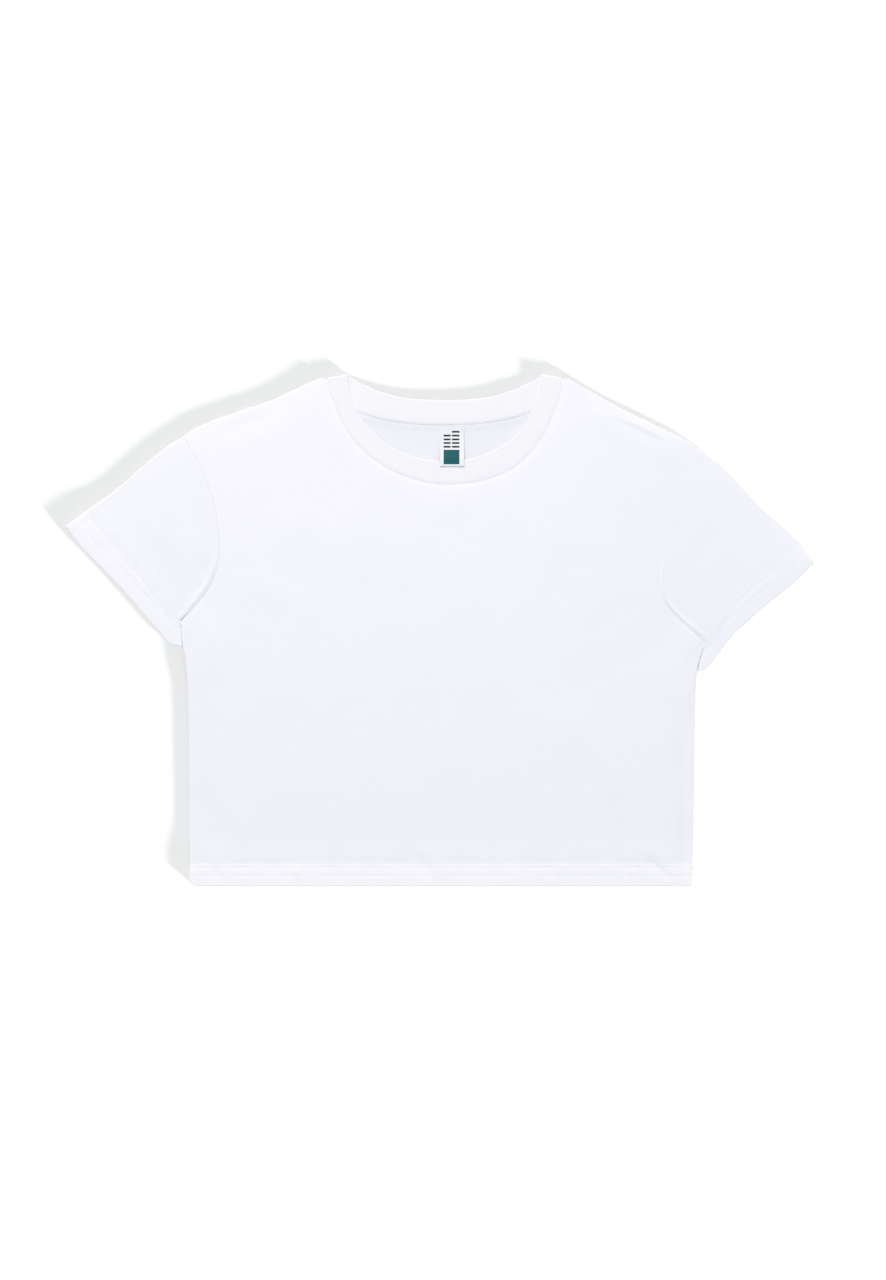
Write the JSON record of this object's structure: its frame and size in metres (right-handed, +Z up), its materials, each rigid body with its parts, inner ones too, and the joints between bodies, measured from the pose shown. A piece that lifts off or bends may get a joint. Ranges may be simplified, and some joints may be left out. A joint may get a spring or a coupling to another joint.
{
  "type": "crop top",
  "caption": "Boxy short-sleeved cropped T-shirt with a ribbed crew neck and a small woven neck label, laid out flat with its front up",
  "frame": {"origin": "on the surface the garment lies on, under the middle of its bounding box", "axes": "+X to the wearer's left, which is the viewer's right with the front up; +Y from the hem to the neck; +Z up from the surface"},
  "size_m": [0.748, 0.5119, 0.0044],
  "materials": {
    "jersey": "white single-jersey cotton, matt, fine vertical knit ribs",
    "rib": "white 1x1 rib-knit cotton, matt, folded double",
    "label": "white woven satin label with short charcoal dashes and a teal block, slight sheen"
  },
  "bodies": {
    "root": {"back_panel": "jersey", "front_panel": "jersey", "right_sleeve": "jersey", "left_sleeve": "jersey", "neckband": "rib", "neck_label": "label"}
  },
  "joints": []
}
